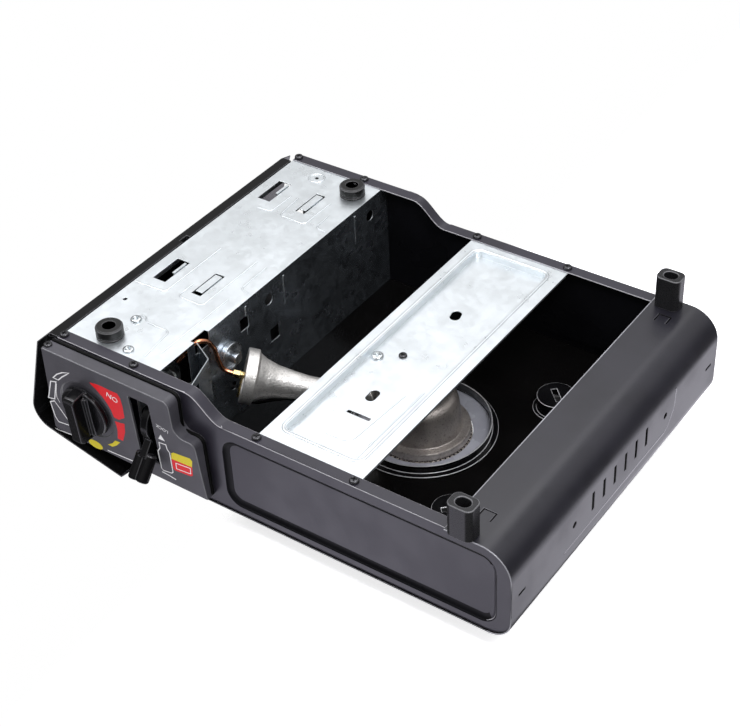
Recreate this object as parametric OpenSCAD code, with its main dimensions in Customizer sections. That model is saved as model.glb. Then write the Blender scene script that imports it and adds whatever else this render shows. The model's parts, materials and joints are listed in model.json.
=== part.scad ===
// Butane cassette stove, standing on its feet in use.
// +X is the cartridge side, -X the burner end, -Y the front with knob and lever, +Z up.
// Origin: centre of the overall box, on the plane of the feet. Millimetres.

/* [Case] */
// length of the case from the burner end wall to the cartridge side
case_len = 355; // [330:1:390]
// depth of the case from front edge to back edge
case_d = 275; // [255:1:300]
// height of the top plate above the table
top_z = 96; // [90:1:110]
// sheet thickness of the pressed case parts
sheet = 0.8; // [0.6:0.1:1.2]
// width of the turned-in rim of front and back panel
rim_w = 9.1; // [7:0.1:12]
// how deep the field of front and back panel is pressed in
field_d = 2.5; // [1:0.1:4]
// corner radius between top plate and end wall
top_r = 17; // [10:1:24]
// corner radius between end wall and bottom lip
low_r = 22; // [12:1:26]

/* [Cartridge bay] */
// width of the cartridge bay inside the case
bay_w = 82; // [80:1:90]
// how far the lid bulges past the cartridge side
lid_over = 27; // [20:1:32]
// diameter of the bore that takes the cartridge valve
socket_d = 11; // [9:0.1:13]
// travel of the cartridge carriage
carriage_travel = 9; // [6:0.5:10]

/* [Feet] */
// height of the ring feet under the bay
ring_h = 8; // [6:0.5:12]
// outer diameter of a ring foot
ring_d = 19; // [16:0.5:22]
// length of a tall foot's oval section
tall_w = 18; // [14:0.5:22]

/* [Burner] */
// diameter over the ring of flame ports
port_d = 70; // [60:1:76]
// number of flame ports
port_n = 60; // [36:1:72]
// width of one flame port
port_w = 1.5; // [1:0.1:2]
// diameter of the opening in the top plate round the burner
opening_d = 96; // [90:1:104]
// outer diameter of the mixing tube where it meets the burner
tube_d = 17; // [14:0.5:18]
// outer diameter of the drip tray
tray_d = 166; // [150:1:172]
// height of the pan support's top above the top plate
pan_h = 20; // [14:1:26]

/* [Knob and lever] */
// diameter of the knob skirt
knob_d = 40; // [34:0.5:43]
// length of the lock lever from its axle to its tip
lever_len = 45; // [40:0.5:47]
// angle of the lock lever above level at rest
lever_up = 50; // [44:1:52]
// radial running clearance of the valve stem and other turning fits
fit = 0.05; // [0.02:0.01:0.1]

/* [Hidden] */
$fn = 48;

t = sheet;
e = 0.01;
// front reach of the lever past the case's front edge
reach = 25.52;
yf = -(case_d - reach) / 2;
yb = yf + case_d;
x_end = -(case_len + lid_over) / 2;
x_side = x_end + case_len;
x_div = x_side - bay_w;
x_hinge = x_div + 25.5;
x_lip = x_end + 47;
tall_x = x_end + 35.5;
// bottom levels: cartridge side stands lower than the burner side
z2 = ring_h;
z1 = ring_h + 16.8;
bay_top = top_z - 10;
x_s1 = x_div - 29;
x_s2 = x_div - 56;
// burner centre
bx = x_end + 154;
by = yf + case_d / 2;
// knob axis, leaning back with the face of the control panel
lean = 3.86;
knob_x = x_side - 28;
knob_z = top_z - 44.5;
// lever axle
lever_x = x_div + 2;
lever_y = yf + 6;
lever_z = 46;
// lid hinge axle
hinge_x = x_hinge - 3;
hinge_z = top_z + 3.4;
rod_d = 3;
pin_d = 4;
stem_d = 6;
rim_screw_x2 = [x_side - 2.5, x_side - 64];
rim_screw_x1 = [bx + 37, bx - 38.5];
rim_screw_y = [yf + 5.6, yb - 5.6];
pocket_r = 96;
pocket_d = 26;
pocket_h = 12;

// points on an arc, angles in degrees
function arc(cx, cz, r, a0, a1, n) = [for (i = [0:n]) let (a = a0 + (a1 - a0) * i / n) [cx + r * cos(a), cz + r * sin(a)]];
// the S between the two bottom levels, from x0 to x1 and from za to zb
function s_line(x0, x1, za, zb, n) = [for (i = [0:n]) [x0 + (x1 - x0) * i / n, za + (zb - za) * (1 - cos(180 * i / n)) / 2]];
// bottom outline of front and back panel, raised by d
function rim_line(d) = concat([[x_side, z2 + d]], s_line(x_s1 + d * 0.4, x_s2 + d * 0.4, z2 + d, z1 + d, 10), [[x_lip, z1 + d]]);

shell_pts = concat(
  [[x_hinge, top_z]],
  arc(x_end + top_r, top_z - top_r, top_r, 90, 180, 10),
  arc(x_end + low_r, z1 + low_r, low_r, 180, 270, 10),
  [[x_lip, z1], [x_lip, z1 + t]],
  arc(x_end + low_r, z1 + low_r, low_r - t, 270, 180, 10),
  arc(x_end + top_r, top_z - top_r, top_r - t, 180, 90, 10),
  [[x_hinge, top_z - t]]);
panel_pts = concat(
  rim_line(0),
  [[x_lip, z1 + t]],
  arc(x_end + low_r, z1 + low_r, low_r - t, 270, 180, 10),
  arc(x_end + top_r, top_z - top_r, top_r - t, 180, 90, 10),
  [[x_hinge, top_z - t], [x_hinge, bay_top], [x_side, bay_top]]);
rim_n = len(rim_line(0));
rim_strip = concat(rim_line(0), [for (i = [0:rim_n - 1]) rim_line(t)[rim_n - 1 - i]]);

// a flat outline in x and z, drawn out along y from y0
module along_y(y0, len) translate([0, y0 + len, 0]) rotate([90, 0, 0]) linear_extrude(len) children();
// a flat outline in y and z, drawn out along x from x0
module along_x(x0, len) translate([x0, 0, 0]) rotate([90, 0, 90]) linear_extrude(len) children();
// rounded rectangle between two corners
module rr(x0, z0, x1, z1, r) {
  translate([x0 + r, z0]) square([x1 - x0 - 2 * r, z1 - z0]);
  translate([x0, z0 + r]) square([x1 - x0, z1 - z0 - 2 * r]);
  for (x = [x0 + r, x1 - r])
    for (z = [z0 + r, z1 - r])
      translate([x, z]) circle(r = r);
}
// oval of length l and width w along x
module oval(l, w) {
  square([l - w, w], center = true);
  for (s = [-1, 1]) translate([s * (l - w) / 2, 0]) circle(d = w);
}
// frame whose local -Y points out of the control panel along the knob axis, origin on the panel face
module dial_frame() translate([knob_x, yf - 9.33, knob_z]) rotate([-lean, 0, 0]) children();
// round bar between two points
module bar(a, b, d) {
  v = b - a;
  l = norm(v);
  translate(a) rotate([0, acos(v[2] / l), atan2(v[1], v[0])]) cylinder(d = d, h = l);
}
// bent round bar through a list of points
module bent(p, d) {
  for (i = [0:len(p) - 2]) bar(p[i], p[i + 1], d);
  for (i = [1:len(p) - 2]) translate(p[i]) sphere(d = d * 1.03);
}
// cross-head screw pointing up, head below the plane z = 0
module screw(head, shank, len, h) {
  difference() {
    translate([0, 0, -h]) cylinder(d1 = head * 0.8, d2 = head, h = h);
    for (a = [0, 90]) rotate([0, 0, a]) cube([head * 0.55, head * 0.14, 2 * h], center = true);
    translate([0, 0, -0.6]) cylinder(d = head * 0.7, h = 1);
  }
  translate([0, 0, -0.7]) cylinder(d = shank, h = len + 0.7);
}

// ---------- case ----------
// positions of the pan support's four pockets
module at_pockets() for (a = [45:90:315]) translate([bx + pocket_r * cos(a), by + pocket_r * sin(a), 0]) rotate([0, 0, a]) children();

module knuckle() difference() {
  circle(r = 3);
  circle(d = rod_d + 2 * fit);
}

module body_shell() color([0.09, 0.09, 0.1]) {
  difference() {
    along_y(yf, case_d) polygon(shell_pts);
    translate([bx, by, top_z - 2 * t]) cylinder(d = opening_d, h = 3 * t, $fn = 96);
    at_pockets() translate([0, 0, top_z - 2 * t]) cylinder(d = pocket_d, h = 3 * t);
    for (i = [0:5]) translate([x_end - 1, yf + 97.5 + 14.35 * i, 50]) cube([3, 3, 15]);
    for (y = [75.5, case_d - 77]) along_x(x_end - 1, 3) translate([yf + y, 59]) circle(d = 4.5);
    for (y = [8, case_d - 16]) translate([x_end - 1, yf + y, 61]) cube([3, 8, 2]);
    for (y = [20, case_d - 28]) translate([x_end + 27, yf + y, z1 - 1]) difference() {
      cube([9.5, 8, 3]);
      translate([0.8, -1, -1]) cube([7.9, 8.2, 5]);
    }
    for (y = [6.5, case_d - 6.5]) translate([tall_x, yf + y, z1 - 1]) cylinder(d = 5.2, h = 3);
  }
  // hoods of the louvres, pressed inwards
  for (i = [0:5]) translate([x_end + t / 4, yf + 97.5 + 14.35 * i - 0.3, 50]) rotate([0, 0, -28]) cube([t, 4, 15]);
  // fixed knuckles of the lid hinge
  for (y = [14, case_d / 2 - 6, case_d - 25]) along_y(yf + y, 12) translate([hinge_x, hinge_z]) {
    knuckle();
    difference() {
      translate([-2, -3.8]) square([4, 2]);
      circle(d = rod_d + 2 * fit);
    }
  }
}

// cups under the top plate for the pan support's legs
module pocket_cups() color([0.1, 0.1, 0.11]) at_pockets() translate([0, 0, top_z - pocket_h - 2 * e]) difference() {
  union() {
    cylinder(d = pocket_d + 2 * t, h = pocket_h - t);
    translate([0, 0, pocket_h - 2 * t]) cylinder(d = pocket_d + 7, h = t);
  }
  translate([0, 0, t]) cylinder(d = pocket_d, h = pocket_h);
  translate([-2, -7, -1]) cube([4, 14, 3]);
}

// ring that stiffens the burner opening from below
module opening_collar() color([0.1, 0.1, 0.11]) translate([bx, by, top_z - 8]) rotate_extrude($fn = 96) polygon([
  [opening_d / 2, 0], [opening_d / 2 + t, 0], [opening_d / 2 + t, 8 - 2 * t], [opening_d / 2 + 5, 8 - 2 * t],
  [opening_d / 2 + 5, 8 - t], [opening_d / 2, 8 - t]]);

// pressed end panel: yp is the plane of its face, s = 1 where the case lies behind it, -1 in front
module slab(yp, s, d0, d1) along_y(min(yp + s * d0, yp + s * d1), d1 - d0) children();
module end_panel(yp, s) {
  x0 = x_end + 11;
  x1 = x_s2 + 1;
  za = z1 + 8.2;
  zb = top_z - 6.5;
  difference() {
    slab(yp, s, 0, t) polygon(panel_pts);
    slab(yp, s, -1, t + 1) rr(x0, za, x1, zb, 12);
  }
  slab(yp, s, 0, field_d + t) difference() {
    rr(x0, za, x1, zb, 12);
    rr(x0 + t, za + t, x1 - t, zb - t, 12 - t);
  }
  slab(yp, s, field_d, field_d + t) rr(x0, za, x1, zb, 12);
  difference() {
    slab(yp, s, 0, rim_w) polygon(rim_strip);
    rim_holes(3.2);
  }
}
module rim_holes(d) for (y = rim_screw_y) {
  for (x = rim_screw_x2) translate([x, y, z2 - 1]) cylinder(d = d, h = 4);
  for (x = rim_screw_x1) translate([x, y, z1 - 1]) cylinder(d = d, h = 4);
}

module front_panel() color([0.1, 0.1, 0.11]) difference() {
  end_panel(yf + 1.2, 1);
  // room for the lever drum and the valve stem's boss
  along_y(yf, 4) rr(lever_x - 14, lever_z - 26, lever_x + 13.2, lever_z + 26, 3);
  dial_frame() rotate([-90, 0, 0]) cylinder(d = 19, h = 16);
}

module back_panel() color([0.1, 0.1, 0.11]) end_panel(yb - 1.2, -1);

// post with a plug through the lip; out is how far it stands off the plug's line along y
module tall_foot(out) difference() {
  union() {
    linear_extrude(z1) rr(-tall_w / 2, out - 6.8, tall_w / 2, out + 6.8, 4.4);
    translate([0, 0, z1 - e]) cylinder(d = 5, h = t + 2);
    translate([0, 0, z1 + t]) cylinder(d1 = 7.5, d2 = 4.5, h = 2.5);
  }
  translate([0, out, -1]) linear_extrude(17) oval(10, 8);
}
module tall_foot_front() color([0.07, 0.07, 0.08]) translate([tall_x, yf + 6.5, 0]) tall_foot(-3);
module tall_foot_back() color([0.07, 0.07, 0.08]) translate([tall_x, yb - 6.5, 0]) tall_foot(-1);

module ring_foot() {
  rotate_extrude() difference() {
    union() {
      translate([4.2, 0]) square([ring_d / 2 - 5, ring_h + t]);
      translate([4.2, 0.8]) square([ring_d / 2 - 4.2, ring_h + t - 3.4]);
      translate([4.2, ring_h + t - 1.8]) square([ring_d / 2 - 4.2, 1.8]);
    }
    translate([3, -1]) square([1.6, 3]);
  }
  difference() {
    translate([0, 0, ring_h - 1.6]) cylinder(d = 8.8, h = 4.2);
    translate([0, 0, ring_h - 3]) cylinder(d = 3, h = 8);
  }
  translate([0, 0, ring_h + 2 * t]) difference() {
    cylinder(d = 11.5, h = 1.4);
    translate([0, 0, -1]) cylinder(d = 3, h = 5);
  }
}
ring_front = [x_side - 28.6, yf + 22.4];
ring_back = [x_side - 67.5, yb - 26.1];
module ring_foot_front() color([0.05, 0.05, 0.05]) translate(ring_front) ring_foot();
module ring_foot_back() color([0.05, 0.05, 0.05]) translate(ring_back) ring_foot();

// ---------- cartridge bay ----------
slots = [for (y = [yf + 89, yb - 66]) each [[x_side - 20, y, 11], [x_side - 52, y, 8]]];
floor_screw_at = [[x_side - 31.9, yf + 44.8], [x_side - 49.7, yf + 16.6]];
boss_y = yf + 77.5;
boss_z = 40.2;
lead_hole = [yf + 79.7, 69];

module cartridge_floor() color([0.78, 0.8, 0.82]) difference() {
  union() {
    translate([x_div, yf + 2.2, z2 + t]) cube([bay_w, case_d - 4.4, t]);
    translate([x_side - t, yf + 14, z2 + t]) cube([t, case_d - 28, 12]);
    translate([x_div, yf + 39, z2 + t]) cube([t, case_d - 41.2, top_z - z2 - 2 * t - 0.1]);
    // pressed ribs of the divider
    for (y = [99.5, 142.5, case_d - 45]) translate([x_div - 0.5, yf + y, z2 + 5]) cube([1, 1.6, 24]);
  }
  for (s = slots) translate([s[0], s[1], z2 - 1]) cube([s[2], 27, 4]);
  translate([x_side - 9.3, yf + 59.1, z2 - 1]) cylinder(d = 3, h = 4);
  translate([x_side - 31.1, yb - 21.5, z2 - 1]) cylinder(d = 3, h = 4);
  for (y = [case_d - 25.4, 125.6]) along_x(x_div - 2, 5) translate([yf + y, 23]) circle(d = 8.5);
  along_x(x_div - 2, 5) translate([yf + 124, 49]) square([10, 11]);
  along_x(x_div - 2, 5) translate([yf + 93, 21]) square([9, 10]);
  along_x(x_div - 2, 5) translate([boss_y, boss_z]) circle(d = 8.4);
  along_x(x_div - 2, 5) translate(lead_hole) circle(d = 6.4);
  // corner notch that lets the gas tube out
  translate([x_div - 1, yf + 46, z2 - 1]) cube([4.4, 14.8, 12]);
  for (p = [ring_front, ring_back]) translate([p[0], p[1], z2 - 1]) cylinder(d = 9, h = 4);
  for (p = floor_screw_at) translate([p[0], p[1], z2 - 1]) cylinder(d = 3.4, h = 4);
  rim_holes(3.2);
}

module floor_screws() color([0.8, 0.82, 0.84]) for (p = floor_screw_at) translate([p[0], p[1], z2 + t]) screw(8, 3.3, 4, 1.7);

// folded wall beside the lever
module mech_bracket() color([0.75, 0.77, 0.79]) difference() {
  union() {
    translate([0, 0, z2 + 2]) linear_extrude(62) polygon([
      [x_div - 28.8, yf + 2.3], [x_div - 28, yf + 2.3], [x_div - 17.4, yf + 38], [x_div - 16.4, yf + 38.9],
      [x_div, yf + 47.8], [x_div, yf + 48.7], [x_div - 17.2, yf + 39.4], [x_div - 18, yf + 38.6]]);
    translate([x_div - 28.4, yf + 2.3, z2 + 44]) cube([14, t, 18]);
  }
  along_x(x_div - 32, 20) translate([lever_y, lever_z]) circle(d = pin_d + 2 * fit);
  along_x(x_div - 30, 14) translate([yf + 17, 16]) square([5, 16]);
}

// plate that carries the regulator, standing on the bay floor
module valve_bracket() color([0.76, 0.78, 0.8]) difference() {
  union() {
    translate([0, 0, z2 + 2 * t]) linear_extrude(64) polygon([
      [lever_x + 13, yf + 2.3], [lever_x + 13 + t, yf + 2.3], [lever_x + 13 + t, yf + 12],
      [x_side - 8, yf + 12], [x_side - 8, yf + 12 + t], [lever_x + 13, yf + 12 + t]]);
    translate([lever_x + 13, yf + 12, z2 + 2 * t]) cube([x_side - 21 - lever_x, 8, t]);
  }
  along_x(lever_x + 12, 3) translate([lever_y, lever_z]) circle(d = pin_d + 2 * fit);
  dial_frame() rotate([-90, 0, 0]) translate([0, 0, 10]) cylinder(d = 14.4, h = 30);
  for (p = concat(floor_screw_at, [ring_front])) translate([p[0], p[1], z2]) cylinder(d = p == ring_front ? 13 : 3.4, h = 4);
}

// zinc cast gas valve with its diaphragm housing
module regulator() color([0.62, 0.63, 0.65]) difference() {
  union() {
    translate([x_side - 44, yf + 26, 34]) cube([32, 22, 30]);
    along_x(x_side - 58, 14.5) translate([yf + 37, 49]) circle(d = 34);
    along_x(x_side - 59.5, 2) translate([yf + 37, 49]) circle(d = 28);
    dial_frame() rotate([-90, 0, 0]) translate([0, 0, 12]) cylinder(d = 14, h = 26);
    along_y(yf + 47, 9) translate([x_side - 33, 44.4]) circle(d = 22);
    // foot that sits on the plate behind the front
    translate([x_side - 46, yf + 12 + t, 38]) cube([8, 14, 8]);
    translate([x_side - 20, yf + 12 + t, 38]) cube([8, 14, 8]);
  }
  along_y(yf + 50, 7) translate([x_side - 33, 44.4]) circle(d = socket_d);
  dial_frame() rotate([-90, 0, 0]) translate([0, 0, 5]) cylinder(d = stem_d + 2 * fit, h = 27);
  // relief in the head of the housing
  along_x(x_side - 60, 1.2) translate([yf + 37, 49]) circle(d = 20);
}

// shield over the regulator with the cartridge guide notch
module regulator_cover() color([0.77, 0.79, 0.81]) {
  translate([x_div + t, yf + 12 + t, bay_top - 6]) difference() {
    cube([bay_w - 8, 53.2, t]);
    translate([42, 44, -1]) cube([8, 20, 3]);
  }
  translate([x_div + t, yf + 40, bay_top - 12]) cube([t, 26, 6]);
  translate([x_div + 10, yf + 12 + t, z2 + 2 * t + 60]) cube([12, t, bay_top - 66 - z2 - t]);
}

// cup and pin of the pressure trip on the divider
module trip_boss() color([0.7, 0.72, 0.74]) {
  along_x(x_div - 1.5, 1.5) translate([boss_y, boss_z]) circle(d = 21);
  along_x(x_div - 4, 3) translate([boss_y, boss_z]) difference() {
    circle(d = 21);
    circle(d = 17);
  }
  along_x(x_div - 9, 13) translate([boss_y, boss_z]) circle(d = 8);
}

// sliding plate that pushes the cartridge forward when the lever is locked
module carriage() color([0.72, 0.74, 0.76]) {
  difference() {
    translate([x_side - 60, yf + 84, z2 + 2 * t + 0.3]) cube([54, case_d - 102, 1]);
    translate([x_side - 42, yf + 125, z2]) cube([18, 70, 6]);
    for (s = slots) translate([s[0] - 0.6, s[1] - 1.5, z2]) cube([s[2] + 1.2, carriage_travel + 30, 6]);
  }
  translate([x_side - 53, yb - 19, z2 + 2 * t + 0.3]) cube([40, 1, 48]);
  // hooks through the slots: a plain one in each wide slot, a tongue in each narrow one
  for (s = slots) translate([s[0] - 0.9, s[1] + carriage_travel + 1.5, 0]) {
    wide = s[2] > 9;
    translate([0, 0, z2 + 2 * t + 0.3]) cube([2.6, 14, 1]);
    translate([1.4, 0, z2 - 0.2]) cube([1.2, 14, 2 * t + 1.5]);
    translate([1.4, wide ? 0 : -8, z2 - 0.2]) cube([wide ? 1.8 : s[2] - 2.2, wide ? 14 : 22, 0.7]);
  }
  // draw bar towards the lever
  translate([x_div + 10, yf + 33, z2 + 2 * t + 0.8]) cube([6, 56, 3]);
  translate([x_div + 10, yf + 84, z2 + 2 * t + 0.8]) cube([bay_w - 68, 5, 3]);
}

// ---------- control panel, knob and lever ----------
// face outline, with the scooped step in its lower corner; d pulls it in
function face_pts(d) = concat(
  [[x_side + 3 - d, 9.5 + d]],
  arc(x_div - 20, 14.5, 5 - d, 270, 180, 4),
  arc(x_div - 33, 30.5, 8 + d, 0, 90, 6),
  arc(x_div - 37, 43.5, 5 - d, 270, 180, 4),
  [[x_div - 42.5 + d, 60], [x_div - 44 - 0.0 + d, top_z - 8 - d], [x_side + 9 - d, top_z - 9 - d], [x_side + 10.7 - d, top_z - 11 - d]]);
// side view: the face leans back towards the top
function side_pts(d) = [
  [yf - 12.2 + d * 1.002, 5], [yf - 12.2 + 5.4 * 0.05 + d * 1.002, 9.5], [yf - 6.8 + d * 1.002, top_z - 7],
  [yf + 5, top_z - 7], [yf + 5, 5]];
// plan: the inner side is drafted
function plan_pts(d) = [
  [x_div - 50 + d, yf + 5], [x_div - 44 + d, yf - 13], [x_side + 20, yf - 13], [x_side + 20, yf + 5]];

module panel_solid(d, y1) intersection() {
  along_y(yf - 14, 14 + y1) polygon(face_pts(d));
  along_x(x_end, case_len + 40) polygon(side_pts(d));
  translate([0, 0, 0]) linear_extrude(top_z) polygon(plan_pts(d));
}

module control_panel() color([0.13, 0.13, 0.14]) difference() {
  panel_solid(0, 1.1);
  panel_solid(2.2, 3);
  // dial recess and stem hole
  dial_frame() rotate([90, 0, 0]) translate([0, 0, -1]) cylinder(d = 46.4, h = 6);
  dial_frame() rotate([-90, 0, 0]) cylinder(d = stem_d + 3, h = 8);
  // lever slot
  along_y(yf - 20, 30) rr(lever_x - 8.6, top_z - 77, lever_x + 8.7, top_z - 22, 1.5);
  translate([x_side + 1, yf - 7, 8]) cylinder(d = 2.8 + 2 * fit, h = 12);
  // shadow groove along the rim of the front panel
  along_x(x_div - 18, x_side + 38 - x_div) translate([yf - 1.7, 8]) square([1.6, 3.1]);
}

module panel_screw() color([0.06, 0.06, 0.06]) translate([x_side + 1, yf - 7, 9.5]) screw(6, 2.8, 8, 1.5);

module knob() color([0.06, 0.06, 0.065]) dial_frame() rotate([90, 0, 0]) difference() {
  union() {
    rotate_extrude() polygon([[0, -0.7], [knob_d / 2 - 1, -0.7], [knob_d / 2, 0.2], [knob_d / 2 - 0.6, 4], [0, 4.6]]);
    intersection() {
      translate([-4.5, -knob_d / 2 - 1, 2]) cube([9, knob_d + 2, 13]);
      rotate_extrude() polygon([[0, 1], [knob_d / 2 + 0.8, 1], [knob_d / 2 + 0.2, 12.5], [knob_d / 2 - 1.8, 15], [0, 15]]);
    }
    for (s = [-1, 1]) intersection() {
      translate([-7, s * 8 - 8, 2]) cube([14, 16, 4.2]);
      cylinder(r = knob_d / 2 - 2, h = 8);
    }
  }
  // bore for the stem, with its flat
  translate([0, 0, -2]) difference() {
    cylinder(d = stem_d + 0.06, h = 12);
    translate([-5, stem_d / 2 - 1.18, -1]) cube([10, 5, 14]);
  }
}

module valve_stem() color([0.75, 0.68, 0.4]) dial_frame() rotate([90, 0, 0]) {
  difference() {
    translate([0, 0, -31]) cylinder(d = stem_d, h = 40.5);
    translate([-5, stem_d / 2 - 1.21, -2]) cube([10, 5, 14]);
  }
  // cam that trips the igniter
  difference() {
    translate([0, 0, -8.5]) cylinder(d = 8.4, h = 2.5);
    translate([-5, -9, -9]) cube([10, 6, 4]);
  }
}

// lever drawn pointing along +y before it is turned to its rest angle
module lock_lever() color([0.06, 0.06, 0.065]) translate([lever_x, lever_y, lever_z]) rotate([180 - lever_up, 0, 0]) difference() {
  union() {
    along_x(-3, 6) circle(r = 16.5);
    along_x(-13, 25) circle(d = 10);
    along_x(-3, 6) translate([0, -4.5]) square([28, 9]);
    // thumb piece of two rolls with rounded ends
    for (s = [-1, 1]) translate([s * 3.4, 0, 0]) rotate([-90, 0, 0]) rotate_extrude($fn = 40) polygon(concat(
      [[0, 25], [3.6, 25], [4.5, 26]], arc(2.5, lever_len - 2, 2, 0, 90, 4), [[0, lever_len]]));
    // crank that draws the carriage
    along_x(-11, 4) translate([-12, -3]) square([12, 6]);
  }
  along_x(-20, 40) circle(d = pin_d + 2 * fit);
}

module lever_pin() color([0.8, 0.8, 0.8]) along_x(x_div - 29.8, lever_x + 13 + t + 31.3 - x_div) translate([lever_y, lever_z]) circle(d = pin_d);

// ---------- lid ----------
lid_cx = x_side + lid_over - 16;
lid_cz = top_z - 23.8;
lid_a = 16.2;
lid_bot = z2 + 0.5;
function lid_foot(d) = let (xe = lid_cx + (16 - d) * cos(lid_a), ze = lid_cz - (16 - d) * sin(lid_a)) [xe - (ze - lid_bot) * tan(lid_a), lid_bot];
lid_pts = concat(
  [[hinge_x + 4.1, top_z + 0.9], [hinge_x + 10.2, top_z + 7]],
  arc(lid_cx, lid_cz, 16, 76.4, -lid_a, 10), [lid_foot(0)],
  [lid_foot(t)], arc(lid_cx, lid_cz, 16 - t, -lid_a, 76.4, 10),
  [[hinge_x + 10.4, top_z + 5.9], [hinge_x + 4.7, top_z + 0.3]]);

module lid() color([0.08, 0.08, 0.09]) {
  difference() {
    along_y(yf - 9, case_d + 8) polygon(lid_pts);
    // corner cut back beside the rim of the back panel
    along_x(x_side, 40) polygon([[yb - 13, lid_bot - 1], [yb + 1, lid_bot - 1], [yb + 1, lid_bot + 4.5], [yb - 13, lid_bot]]);
  }
  // rolled rail along the lower edge
  difference() {
    along_y(yf + 2.4, case_d - 14) polygon([
      [lid_foot(0)[0] - 8.3, lid_bot], lid_foot(t), [lid_foot(t)[0] + 3.4 * tan(lid_a), lid_bot + 3.4], [lid_foot(0)[0] - 8.3, lid_bot + 3.4]]);
    translate([x_side, yf + case_d / 2 - 4, lid_bot - 1]) cube([4, 8, 6]);
  }
  // moving knuckles
  for (y = [26.3, case_d / 2 - 20, case_d / 2 + 6.3, case_d - 39]) along_y(yf + y, 13.7) translate([hinge_x, hinge_z]) {
    knuckle();
    polygon([[0, 3], [-0.3, 2], [6.3, -0.4], [7.1, 0.8]]);
  }
}

module hinge_rod() color([0.7, 0.7, 0.72]) {
  along_y(yf + 12, case_d - 24) translate([hinge_x, hinge_z]) circle(d = rod_d);
  for (y = [12, case_d - 12.9]) along_y(yf + y, 1.3) translate([hinge_x, hinge_z]) circle(d = 5);
}

// ---------- gas path and burner ----------
jet_at = [x_div - 20, yf + 73, 47.2];
mix_end = [bx, by, top_z - 16];
mix_v = (mix_end - jet_at) / norm(mix_end - jet_at);
// frame at the mouth of the mixing tube, +Z along its axis
module mix_frame() translate(jet_at) rotate([0, acos(mix_v[2]), atan2(mix_v[1], mix_v[0])]) children();
mix_len = norm(mix_end - jet_at);
leg_big = [bx + 23.6, by - 17.2];
leg_small = [bx + 9.2, by - 7.6];
// the tube's lug ends 2 mm inside the tube
lug_top = mix_end[2] - (mix_end[2] - jet_at[2]) * (leg_big[0] - bx) / (jet_at[0] - bx) - tube_d / 2 + 2;
body_z = top_z - 34;
bracket_z = z1 + t + 5;
// corners of the dish pressed into the bracket
dish = [bx - 30.5, yf + 22.5, bx + 30, yb - 18];

module burner_bracket() color([0.8, 0.82, 0.84]) difference() {
  union() {
    difference() {
      translate([bx - 41.2, yf + 2.3, z1 + t]) cube([80.3, case_d - 4.6, t]);
      translate([0, 0, z1]) linear_extrude(4) rr(dish[0], dish[1], dish[2], dish[3], 6);
    }
    translate([0, 0, z1 + t]) linear_extrude(5 + t) difference() {
      rr(dish[0], dish[1], dish[2], dish[3], 6);
      rr(dish[0] + t, dish[1] + t, dish[2] - t, dish[3] - t, 6 - t);
    }
    translate([0, 0, bracket_z]) linear_extrude(t) rr(dish[0], dish[1], dish[2], dish[3], 6);
    translate([bx - 41.2, yf + 12, z1 + t]) cube([t, case_d - 25, 1.8]);
    translate([bx + 39.1 - t, yf + 12, z1 + t]) cube([t, case_d - 25, 8]);
  }
  translate([bx + 3.2, yf + 186.8, bracket_z - 1]) linear_extrude(4) rotate([0, 0, 77]) oval(10.9, 7.3);
  translate([bx + 2.8, yf + 84.8, bracket_z - 1]) linear_extrude(4) rotate([0, 0, 88]) oval(11.9, 6.9);
  translate([bx - 9.8, yf + 62.3, bracket_z - 1]) cube([18, 2.8, 4]);
  translate([leg_big[0], leg_big[1], bracket_z - 1]) cylinder(d = 4.2, h = 4);
  translate([leg_small[0], leg_small[1], bracket_z - 1]) cylinder(d = 3.2, h = 4);
  rim_holes(3.2);
}

module bracket_screws() color([0.82, 0.83, 0.85]) {
  translate([leg_big[0], leg_big[1], bracket_z]) screw(9, 4, 9, 2);
  translate([leg_small[0], leg_small[1], bracket_z]) screw(6, 3, 8, 1.6);
}

module rim_screws() color([0.05, 0.05, 0.05]) for (y = rim_screw_y) {
  for (x = rim_screw_x2) translate([x, y, z2]) screw(6.6, 3, 5, 2);
  for (x = rim_screw_x1) translate([x, y, z1]) screw(6.6, 3, 5, 2);
}

module mixing_tube() color([0.6, 0.59, 0.57]) difference() {
  union() {
    mix_frame() rotate_extrude() polygon([
      [0, -3], [19.5, -3], [19.5, 5], [17.3, 5.6], [14.2, 11], [11.6, 19], [9.8, 30], [tube_d / 2, 42],
      [tube_d / 2, mix_len - 21], [0, mix_len - 21]]);
    // lug down to the bracket
    translate([leg_big[0], leg_big[1], bracket_z + t]) cylinder(d = 11, h = lug_top - bracket_z - t);
  }
  mix_frame() rotate_extrude() polygon([
    [0, -4], [16.5, -4], [14.5, 3], [10.5, 14], [7.8, 30], [6.2, 42], [6.2, mix_len], [0, mix_len]]);
  translate([leg_big[0], leg_big[1], bracket_z]) cylinder(d = 4 + 2 * fit, h = 10);
}

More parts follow.
